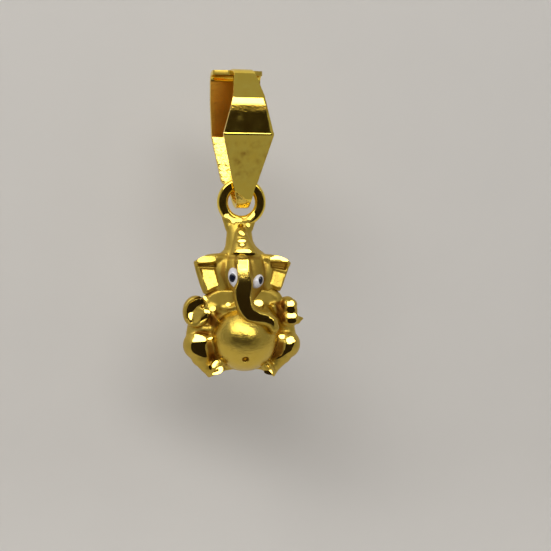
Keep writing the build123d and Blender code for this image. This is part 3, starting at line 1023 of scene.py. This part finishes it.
# %% Torso, belly and arms
clay = bmesh.new()
stack(clay, [
    (-16.3, 0.1, 0.1, 1.4, 1.0),
    (-17.2, 0.05, 0.1, 2.2, 1.25),
    (-18.2, 0.05, 0.05, 2.55, 1.4),
    (-19.5, 0.05, 0.05, 2.8, 1.45),
    (-21.0, 0.05, 0.0, 2.75, 1.45),
    (-22.2, 0.05, 0.0, 2.3, 1.3),
    (-22.75, 0.05, 0.0, 1.8, 1.15),
])
belly = (0.2, -0.52, -20.46)
belly_radii = (2.6, 2.48, 2.58)
ball(clay, belly, belly_radii)
ball(clay, (-1.85, -0.55, -17.5), (1.4, 0.46, 1.02), -28)
ball(clay, (-1.2, -0.7, -18.0), (0.7, 0.5, 0.5))
ball(clay, (-2.4, -0.55, -18.1), (0.5, 0.5, 0.4))
ball(clay, (1.95, -0.55, -17.45), (1.36, 0.46, 1.02), 28)
limb(clay, (-1.9, -0.4, -17.8, 0.6), (-3.0, -0.4, -18.3, 0.6))
limb(clay, (2.1, -0.4, -17.8, 0.6), (3.1, -0.35, -18.4, 0.6))
limb(clay, (-1.0, -0.95, -18.1, 0.42), (0.2, -1.3, -17.9, 0.5), (1.2, -0.95, -17.9, 0.42))
limb(clay, (-3.55, -0.1, -19.2, 0.62), (-3.7, -0.1, -20.2, 0.66))
limb(clay, (3.45, -0.1, -19.2, 0.62), (3.6, -0.1, -20.2, 0.66))
limb(clay, (-3.3, -0.35, -19.72, 0.36), (-2.6, -0.3, -19.75, 0.4))
ball(clay, (-2.7, 0.3, -19.2), (0.8, 0.8, 0.8))
ball(clay, (2.8, 0.3, -18.9), (0.8, 0.8, 0.8))
limb(clay, (-2.3, -1.15, -18.5, 0.2), (-2.05, -1.3, -18.95, 0.18))
limb(clay, (2.35, -1.15, -18.0, 0.26), (2.6, -1.05, -18.35, 0.22))

# %% Hands
stack(clay, [
    (-0.8, -3.6, -18.38, 0.76, 0.96),
    (-0.4, -3.6, -18.38, 0.96, 1.19),
    (0.5, -3.6, -18.38, 1.04, 1.27),
    (0.85, -3.6, -18.37, 1.0, 1.22),
    (1.02, -3.6, -18.36, 0.92, 1.12),
], to_front)
stack(clay, [
    (-0.8, 3.5, -18.4, 0.6, 0.88),
    (-0.4, 3.52, -18.4, 0.74, 1.1),
    (0.5, 3.55, -18.42, 0.8, 1.2),
    (0.85, 3.55, -18.42, 0.72, 1.12),
], to_front)
limb(clay, (3.45, -0.7, -17.85, 0.48), (3.85, -0.66, -17.88, 0.46))
limb(clay, (3.5, -0.7, -18.88, 0.48), (3.95, -0.66, -18.9, 0.46))
limb(clay, (3.9, -0.3, -19.1, 0.5), (4.3, -0.3, -19.1, 0.36), (4.72, -0.3, -19.0, 0.13))

# %% [markdown]
# ## Legs and feet
#
# The figure sits with bent knees, its shins coming down and in, and its toes turned out at the
# lower corners of a flat foot.

# %% Legs
limb(clay, (-1.6, 0.1, -20.9, 0.9), (-3.44, -0.2, -21.0, 1.16), (-3.15, -0.25, -21.9, 0.82),
     (-2.72, -0.3, -22.7, 0.54), (-2.56, -0.3, -23.3, 0.24))
limb(clay, (1.6, 0.1, -20.9, 0.9), (3.44, -0.2, -21.0, 1.16), (3.1, -0.25, -21.75, 0.84),
     (2.6, -0.3, -22.5, 0.58), (2.46, -0.3, -23.3, 0.22))
plate(clay, [(-2.6, -23.52), (-1.3, -22.98), (-0.6, -22.88), (0.1, -22.84), (0.8, -22.87), (1.5, -22.96),
             (2.5, -23.54), (2.72, -22.9), (3.1, -22.2), (-3.1, -22.2), (-2.85, -22.9)], -0.7, 0.6)
limb(clay, (-1.8, -0.8, -22.4, 0.42), (-2.1, -0.95, -22.6, 0.44), (-2.42, -0.7, -23.1, 0.26))
limb(clay, (1.7, -0.8, -22.4, 0.42), (1.98, -0.92, -22.7, 0.42), (2.32, -0.66, -23.15, 0.25))
body = Casting("seated_body", clay, voxel=0.051)

# %% [markdown]
# ## Cuts on the body
#
# The shoulders are levelled without a shine. The palm is a shallow dish, and seven chips lie on
# its rim and its slanting bar. Each rolled finger has two, one that looks up and mirrors the
# lamp and one that is nearly level and stays dark. Each knee has three, two of them looking up.
# The feet have five small ones, and the chest and shoulder four. Painted shade, a darker colour
# where shade falls, lies where the arms and legs meet the body.

# %% Palm and fingers
palm_at = (-3.6, -18.38)
left_shoulder = [(-2.75, -17.3), (-2.3, -16.8), (-1.7, -16.5), (-0.4, -16.5), (-0.5, -17.8),
                 (-1.0, -18.05), (-1.6, -18.1), (-2.1, -17.95), (-2.75, -17.8)]
right_shoulder = [(2.8, -17.4), (2.3, -16.8), (1.7, -16.5), (0.4, -16.5), (0.5, -17.8), (1.1, -18.0),
                  (1.8, -17.95), (2.3, -17.85), (2.75, -17.75)]
shoulder_cuts = [
    body.cut(left_shoulder, (-1.8, -17.5), 1.0, up=1, right=-9, edge=0.3, shine=0),
    body.cut(right_shoulder, (1.9, -17.5), 1.0, up=1, right=9, edge=0.3, shine=0),
]
palm_cut = body.cut(oval(-3.6, -18.37, 0.82, 1.0), palm_at, 0.98, up=4, shine=0.15, edge=0.1)

# %% Chips on the hands
hand_chips = [
    (palm_at, 1.02, 3, -4, [
        (-3.01, -17.48), (-3.09, -17.72), (-3.28, -17.8), (-3.52, -17.9), (-3.71, -18.15),
        (-3.93, -18.37), (-4.17, -18.44), (-4.4, -18.48), (-4.4, -18.22), (-4.32, -18.0), (-4.2, -17.78),
        (-3.94, -17.59), (-3.62, -17.42), (-3.36, -17.34), (-3.12, -17.37),
    ]),
    (palm_at, 1.02, -3, -4, [
        (-4.42, -18.42), (-4.18, -18.42), (-4.22, -18.69), (-4.09, -18.93), (-3.85, -18.98),
        (-3.81, -19.07), (-3.89, -19.25), (-4.09, -19.22), (-4.27, -19.02), (-4.42, -18.82),
    ]),
    (palm_at, 0.6, 19, 0, [
        (-3.86, -17.44), (-3.65, -17.25), (-3.33, -17.18), (-3.14, -17.24), (-3.26, -17.34),
        (-3.55, -17.36),
    ]),
    (palm_at, 1.04, 19, 0, [
        (-4.2, -18.6), (-4.15, -18.42), (-3.82, -18.38), (-3.94, -18.63), (-3.94, -18.9), (-4.06, -18.95),
        (-4.19, -18.75),
    ]),
    (palm_at, 0.84, 19, 0, [
        (-3.16, -17.58), (-2.96, -17.52), (-2.85, -17.77), (-2.94, -17.98), (-3.11, -18.12),
        (-3.28, -17.98), (-3.22, -17.86), (-3.1, -17.78),
    ]),
    (palm_at, 1.03, 19, 0, [
        (-3.02, -18.26), (-2.92, -18.13), (-2.64, -18.16), (-2.53, -18.38), (-2.58, -18.49),
        (-2.72, -18.4), (-2.88, -18.47),
    ]),
    (palm_at, 1.02, -2, 4, [
        (-2.67, -18.42), (-2.69, -18.9), (-2.95, -19.0), (-3.2, -19.15), (-3.49, -19.45), (-3.59, -19.36),
        (-3.34, -19.03), (-3.25, -18.78), (-3.01, -18.61), (-2.82, -18.42),
    ]),
    ((3.7, -17.98), 1.15, 19, 0, [
        (3.36, -17.54), (3.98, -17.54), (4.02, -17.98), (3.4, -17.98),
    ]),
    ((3.7, -17.98), 1.15, -3, 0, [
        (3.4, -17.96), (4.04, -17.96), (4.06, -18.52), (3.48, -18.52),
    ]),
    ((3.8, -18.9), 1.17, 19, 0, [
        (3.42, -18.5), (4.16, -18.5), (4.16, -18.9), (3.42, -18.9),
    ]),
    ((3.8, -18.9), 1.17, -3, 0, [
        (3.44, -18.88), (4.16, -18.88), (4.16, -19.3), (3.49, -19.32),
    ]),
]
for at, depth, up, right, outline in hand_chips:
    body.chip(outline, at, depth, up, right)
print("hand chips:", len(hand_chips))
print("points cut on shoulders and palm:", shoulder_cuts, palm_cut)

# %% Chips on the knees
knee_chips = [
    ((-3.5, -20.66), 1.28, 19, 0, [
        (-3.96, -20.66), (-3.84, -20.42), (-3.73, -20.3), (-3.76, -20.12), (-3.64, -20.06),
        (-3.37, -20.14), (-3.07, -20.22), (-2.84, -20.43), (-2.9, -20.62), (-3.26, -20.66),
    ]),
    ((-3.5, -20.66), 1.28, -4, 0, [
        (-3.98, -20.64), (-3.26, -20.64), (-2.99, -20.6), (-2.77, -20.6), (-2.97, -21.0), (-2.84, -21.55),
        (-2.78, -21.9), (-3.12, -21.85), (-3.54, -21.67), (-3.8, -21.53), (-3.98, -21.34), (-4.04, -21.0),
    ]),
    ((-2.6, -20.4), 1.2, 17, 0, [
        (-2.8, -20.46), (-2.64, -20.34), (-2.36, -20.29), (-2.38, -20.41), (-2.57, -20.5),
    ]),
    ((3.1, -20.84), 1.24, 18, 0, [
        (2.76, -20.29), (2.9, -20.18), (3.28, -20.21), (3.34, -20.33), (3.29, -20.52), (3.17, -20.62),
        (2.97, -20.52),
    ]),
    ((3.5, -20.84), 1.28, 19, 0, [
        (3.29, -20.53), (3.4, -20.38), (3.72, -20.31), (3.96, -20.41), (3.95, -20.58), (4.1, -20.65),
        (3.98, -20.78), (3.79, -20.86), (3.62, -20.9), (3.42, -20.87), (3.3, -20.71),
    ]),
    ((3.5, -20.84), 1.28, -4, 0, [
        (3.24, -20.82), (3.44, -20.82), (3.62, -20.86), (3.79, -20.82), (4.02, -20.71), (3.97, -20.98),
        (3.85, -21.2), (3.76, -21.45), (3.44, -21.63), (3.1, -21.87), (2.82, -22.05), (2.45, -22.13),
        (2.82, -21.88), (3.1, -21.69), (3.18, -21.39), (3.22, -21.12),
    ]),
]
for at, depth, up, right, outline in knee_chips:
    body.chip(outline, at, depth, up, right)
print("knee chips:", len(knee_chips))

# %% Chips on the feet
foot_chips = [
    ((-2.1, -22.4), 1.26, 18, 0, [
        (-2.45, -22.47), (-2.1, -22.08), (-1.88, -22.2), (-2.1, -22.62), (-2.35, -22.67),
    ]),
    ((-2, -22.8), 1.28, 18, 0, [
        (-2.3, -22.72), (-1.8, -22.5), (-1.56, -22.64), (-1.58, -22.96), (-1.94, -23.16), (-2.4, -23.2),
        (-2.36, -23.06), (-1.9, -22.94), (-1.84, -22.78), (-2.2, -22.86),
    ]),
    ((-2.5, -22.7), 1.14, -4, 0, [
        (-2.71, -22.53), (-2.51, -22.46), (-2.35, -22.65), (-2.38, -22.84), (-2.6, -22.86),
    ]),
    ((2, -22.9), 1.12, -4, 0, [
        (1.62, -22.94), (2.04, -22.86), (2.32, -23.34), (2.03, -23.31), (1.66, -23.18),
    ]),
    ((2, -22.8), 1.16, 18, 0, [
        (1.74, -22.48), (1.96, -22.34), (2.13, -22.73), (2.32, -23.24), (2.15, -23.08), (1.9, -22.77),
    ]),
]
for at, depth, up, right, outline in foot_chips:
    body.chip(outline, at, depth, up, right)
print("foot chips:", len(foot_chips))

# %% Chips on the chest and shoulder
chest_chips = [
    ((1.2, -17.7), 1.3, 15, 0, [
        (0.86, -17.47), (1.52, -17.46), (1.55, -17.93), (0.88, -17.9),
    ]),
    ((-1.1, -17.9), 1.24, 15, 0, [
        (-1.38, -17.83), (-1.23, -17.63), (-1.02, -17.67), (-0.94, -17.85), (-1.19, -17.96),
    ]),
    ((-2.3, -18.1), 1.12, 14, 0, [
        (-2.62, -18.1), (-2.45, -17.91), (-2.13, -17.92), (-2.09, -18.15), (-2.3, -18.34),
        (-2.54, -18.24),
    ]),
    ((-2.9, -17.3), 0.8, 15, 0, [
        (-3.08, -17.14), (-2.91, -17.18), (-2.6, -17.36), (-2.76, -17.5), (-2.95, -17.45),
    ]),
]
for at, depth, up, right, outline in chest_chips:
    body.chip(outline, at, depth, up, right)
print("chest chips:", len(chest_chips))

# %% Painted shade on the body
# Each entry is the amount, the soft edge and the outline of a place whose colour is darkened as painted
# shade.
body_painted_shade = [
    (1.0, 0.15, [
        (2.45, -17.6), (3.35, -17.38), (3.4, -19.2), (3.0, -19.4), (2.5, -18.6),
    ]),
    (0.9, 0.1, [
        (-2.86, -17.0), (-2.36, -16.74), (-1.75, -16.5), (-1.7, -16.68), (-2.3, -16.98), (-2.67, -17.29),
        (-2.86, -17.2),
    ]),
    (0.8, 0.12, [
        (-1.31, -18.12), (-1.0, -18.0), (-0.66, -18.0), (-0.66, -18.15), (-1.0, -18.27), (-1.27, -18.38),
    ]),
    (0.9, 0.2, [
        (-2.8, -20.53), (-2.35, -20.53), (-2.01, -21.71), (-1.76, -22.12), (-2.11, -22.26),
        (-2.66, -22.33), (-2.77, -21.84), (-2.84, -21.36), (-2.94, -20.84),
    ]),
    (1.0, 0.12, [
        (-3.77, -19.85), (-2.94, -19.71), (-2.46, -19.91), (-2.63, -20.29), (-2.84, -20.29),
        (-3.01, -20.16), (-3.32, -20.16), (-3.74, -20.09),
    ]),
    (0.95, 0.2, [
        (2.66, -20.17), (2.86, -20.07), (2.86, -20.38), (2.97, -20.62), (3.28, -20.65), (3.21, -21.55),
        (2.97, -21.96), (2.62, -22.1), (2.03, -22.24), (2.17, -21.69), (2.52, -21.03),
    ]),
    (1.0, 0.25, [
        (-2.72, -18.68), (-2.07, -18.22), (-1.58, -18.37), (-1.54, -18.68), (-1.88, -18.75),
        (-1.92, -19.51), (-2.34, -19.7), (-2.72, -19.51), (-2.87, -19.21),
    ]),
]
for amount, edge, outline in body_painted_shade:
    body.paint_shade(outline, amount, edge)
print("body stains:", len(body_painted_shade))
print("facets on the body:", len(body.facets.faces))

# %% [markdown]
# ## Belly, navel and back
#
# The belly was buffed by hand, so it is brighter than the satin round it. A mirror shows every
# step of the voxels, so its points are set on the true egg that the lump was. The navel is a
# small drilled pit, and the back is flat where the casting was ground.

# %% Belly, navel and back
belly_shine = 0.52
navel_depth = 0.4
back_plane = 1.42
from_belly = (body.points - belly) / belly_radii
from_middle = np.linalg.norm(from_belly, axis=1)
on_belly = eased((1.06 - from_middle) / 0.03) * (body.points[:, 1] < -1.2)
body.polish = np.maximum(body.polish, belly_shine * on_belly)
trued = on_belly * eased((0.04 - abs(from_middle - 1)) / 0.02)
on_egg = belly + from_belly / from_middle[:, None] * belly_radii
body.points += trued[:, None] * (on_egg - body.points)
from_navel = np.hypot((body.points[:, 0] - 0.07) / 0.25, (body.points[:, 2] + 21.9) / 0.2)
pit = eased((1 - from_navel) / 0.25) * (body.points[:, 1] < -1.5)
body.points[:, 1] += navel_depth * pit
body.polish = np.where(pit > 0, np.minimum(body.polish, 0.2), body.polish)
body.points[:, 1] = np.minimum(body.points[:, 1], back_plane)
print("pit points:", int((pit > 0).sum()))
body.settle()
body.finish(["charm"])

# %% [markdown]
# ## Enamelled eyes
#
# Each white is a shallow drop with a pointed lower end, and each pupil a smaller black drop on
# it. A sphere is flattened and its lower half drawn in.

# %% Eyes
def drop(centre, half_width, half_height, proud, lean, turn, point):
    """A domed drop of enamel. `lean` tips it in its own face and `turn` faces it outwards."""
    shape = bmesh.new()
    bmesh.ops.create_uvsphere(shape, u_segments=48, v_segments=32, radius=1)
    for v in shape.verts:
        v.co.x *= half_width * (1 - point * max(0.0, -v.co.z) ** 2)
        v.co.z *= half_height
        v.co.y *= proud
    turned = Matrix.Rotation(radians(turn), 4, "Z") @ Matrix.Rotation(radians(lean), 4, "Y")
    bmesh.ops.transform(shape, matrix=Matrix.Translation(centre) @ turned, verts=shape.verts)
    return shape


white_left = drop((-0.72, -1.86, -15.72), 0.48, 0.82, 0.42, -13, -26, 0.4)
white_right = drop((1.06, -1.68, -15.99), 0.45, 0.6, 0.42, 36, 24, 0.15)
black_left = drop((-0.9, -2.2, -15.68), 0.26, 0.34, 0.09, 0, -16, 0.0)
black_right = drop((1.28, -2.0, -15.89), 0.19, 0.3, 0.09, 8, 22, 0.0)
eye = ("charm", "white_enamel")
pupil = ("charm", "black_enamel")
piece("white_drop_left", white_left, *eye, ["eye_white_left"], white_enamel)
piece("white_drop_right", white_right, *eye, ["eye_white_right"], white_enamel)
piece("black_drop_left", black_left, *pupil, ["pupil_left"], black_enamel)
piece("black_drop_right", black_right, *pupil, ["pupil_right"], black_enamel)

# %% [markdown]
# ## The studio
#
# Polished gold shows only what it mirrors, so the room matters as much as the metal. A pale
# sweep stands behind and below, and a dark card in front makes the level facets dark, as the
# dim side of a room does. The sweep can't be seen from behind, so that it doesn't hide the
# pendant in other views.

# %% Sweep and card
def plain(name, colour, grain):
    """Matt paper or card, which is clear when it is seen from behind."""
    material, tree = paint(name)
    place = tree.node("ShaderNodeTexCoord", out=3)
    fleck = noise_at(tree, place, grain, 3.0)
    duller = tuple(c * 0.97 for c in colour[:3]) + (1,)
    matt = tree.node("ShaderNodeBsdfPrincipled", None, {
        "Base Color": tinted(tree, fleck, duller, colour),
        "Roughness": 0.9,
    })
    clear = tree.node("ShaderNodeBsdfTransparent")
    seen_from_behind = tree.node("ShaderNodeNewGeometry", out=6)
    mixed = tree.node("ShaderNodeMixShader", None, {0: seen_from_behind, 1: matt, 2: clear})
    tree.node("ShaderNodeOutputMaterial", None, {"Surface": mixed})
    return material


def stage_piece(name, clay, material):
    """Makes a piece of the studio, which isn't part of the pendant."""
    bmesh.ops.scale(clay, vec=(MM, MM, MM), verts=clay.verts)
    mesh = bpy.data.meshes.new(name)
    clay.to_mesh(mesh)
    clay.free()
    mesh.shade_smooth()
    mesh.materials.append(material)
    made = bpy.data.objects.new(name, mesh)
    bpy.context.scene.collection.objects.link(made)
    return made


wall_y = 13.0
floor_z = -62.0
sweep_corners = [(-48, floor_z, 0), (wall_y, floor_z, 30), (wall_y, 160, 0)]
sweep_path = rounded(sweep_corners, closed=False, steps=12)
sweep_clay = band(sweep_path, lambda y, z: (-260, 260), False, 4)
bmesh.ops.recalc_face_normals(sweep_clay, faces=sweep_clay.faces)
if sum(f.normal.z for f in sweep_clay.faces) < 0:
    bmesh.ops.reverse_faces(sweep_clay, faces=sweep_clay.faces)
stage_piece("sweep", sweep_clay, plain("pale_paper", (0.68, 0.66, 0.63, 1), 6.0))

card_clay = bmesh.new()
card_place = Matrix.Translation((-60, -190, -24)) @ to_front @ Matrix.Diagonal((2.1, 0.7, 1, 1))
bmesh.ops.create_circle(card_clay, cap_ends=True, segments=64, radius=100, matrix=card_place)
card_clay.normal_update()
if card_clay.faces[:][0].normal.y < 0:
    bmesh.ops.reverse_faces(card_clay, faces=card_clay.faces)
card = stage_piece("dark_card", card_clay, plain("dark_card", (0.035, 0.022, 0.020, 1), 6.0))
card.visible_camera = False
card.visible_shadow = False
print("card normal:", card.data.polygons[0].normal[:])

# %% [markdown]
# ## Lamps and room light
#
# A facet that looks about 19 degrees up mirrors what hangs in front and above, so that is where
# the large lamp is. It is wide and low, and rolled a little, because the bright bands in the
# gold slant. A narrower lamp just before it gives it a hot core, as a real diffuser has. A dim,
# even room light fills what the lamps leave.

# %% Lamps and room light
def lamp(name, place, target, wide, high, power, colour, roll=0.0):
    """An oval lamp at `place` that looks at `target`, rolled about its own axis in degrees."""
    light = bpy.data.lights.new(name, "AREA")
    light.shape = "ELLIPSE"
    light.size = wide * MM
    light.size_y = high * MM
    light.energy = power
    light.color = colour
    made = bpy.data.objects.new(name, light)
    bpy.context.scene.collection.objects.link(made)
    made.location = Vector(place) * MM
    made.rotation_mode = "QUATERNION"
    towards = (Vector(target) - Vector(place)).to_track_quat("-Z", "Y")
    made.rotation_quaternion = towards @ Quaternion((0, 0, 1), radians(roll))


pendant = (0, 0, -12)
lamp("front_lamp", (-40, -240, 140), pendant, 460, 115, 0.34, (1.0, 0.985, 0.96), -16)
lamp("front_lamp_core", (-30, -238, 144), pendant, 430, 56, 0.21, (1.0, 0.985, 0.96), -12)
lamp("top_lamp", (-110, -110, 200), pendant, 180, 180, 0.12, (1.0, 0.98, 0.95))

world = bpy.data.worlds.new("room")
bpy.context.scene.world = world
world.use_nodes = True
room = world.node_tree.nodes["Background"].inputs
room["Color"].default_value = (0.9, 0.89, 0.88, 1)
room["Strength"].default_value = 0.335

# %% [markdown]
# ## Camera
#
# The camera stands a little to the left and a little above, at four times the pendant's height,
# so that perspective is slight. It is shifted so that the pendant sits where the photo has it.

# %% Camera
camera_right = 2.655
camera_down = 15.6
camera_away = 100.7
azimuth, elevation = radians(-7.0), radians(3.0)
away = Vector((sin(azimuth) * cos(elevation), -cos(azimuth) * cos(elevation), sin(elevation)))
rightwards = Vector((cos(azimuth), sin(azimuth), 0))
upwards = away.cross(rightwards)
camera = bpy.data.cameras.new("camera")
camera.lens = 85
camera.sensor_width = 36
viewer = bpy.data.objects.new("camera", camera)
bpy.context.scene.collection.objects.link(viewer)
viewer.rotation_mode = "QUATERNION"
viewer.rotation_quaternion = away.to_track_quat("Z", "Y")
viewer.location = (rightwards * camera_right - upwards * camera_down + away * camera_away) * MM
camera.clip_start = 0.001
bpy.context.scene.camera = viewer
bpy.context.scene.view_settings.view_transform = "Standard"
print("camera at", [round(v / MM, 1) for v in viewer.location], "up", upwards[:])
